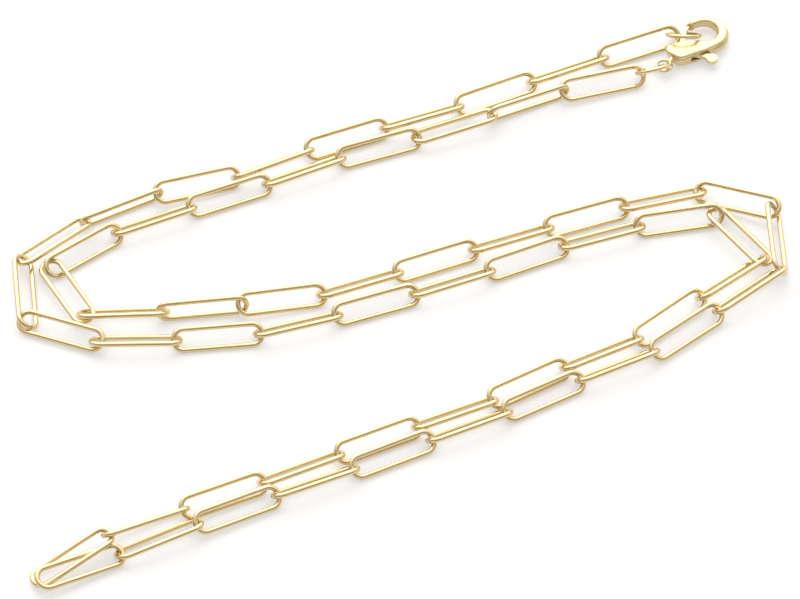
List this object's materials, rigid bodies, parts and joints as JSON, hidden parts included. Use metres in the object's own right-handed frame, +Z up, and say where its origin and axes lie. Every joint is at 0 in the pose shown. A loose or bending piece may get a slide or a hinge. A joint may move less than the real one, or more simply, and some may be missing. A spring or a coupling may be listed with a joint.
{
  "type": "paperclip chain necklace",
  "caption": "Gold necklace of long oval wire links with a small lobster clasp and two jump rings, lying doubled up flat in an S with both ends at the clasp.",
  "frame": {"origin": "middle of the foot of the bounding box, on the table that the necklace lies on", "axes": "+Z up from the table, +X to the right and +Y away from the viewer of the picture"},
  "size_m": [0.0966, 0.0934, 0.0037],
  "materials": {
    "gold_links": "polished pale gold plate",
    "gold_rings": "polished pale gold plate",
    "gold_clasp": "polished pale gold plate on a casting"
  },
  "bodies": {
    "necklace": {"strand_a": "gold_links", "strand_b": "gold_links", "hook_ring": "gold_rings", "tail_ring": "gold_rings", "clasp_body": "gold_clasp", "lever_pin": "gold_clasp"},
    "lever": {"clasp_lever": "gold_clasp"}
  },
  "joints": [
    {"name": "lever_hinge", "type": "hinge", "parent": "necklace", "child": "lever", "pos_m": [0.03715, 0.04063, 0.00113], "axis": [0, 0, 1], "range_deg": [-7, 0], "stiffness_Nm_per_rad": 0.001, "springref_deg": 5.73}
  ]
}
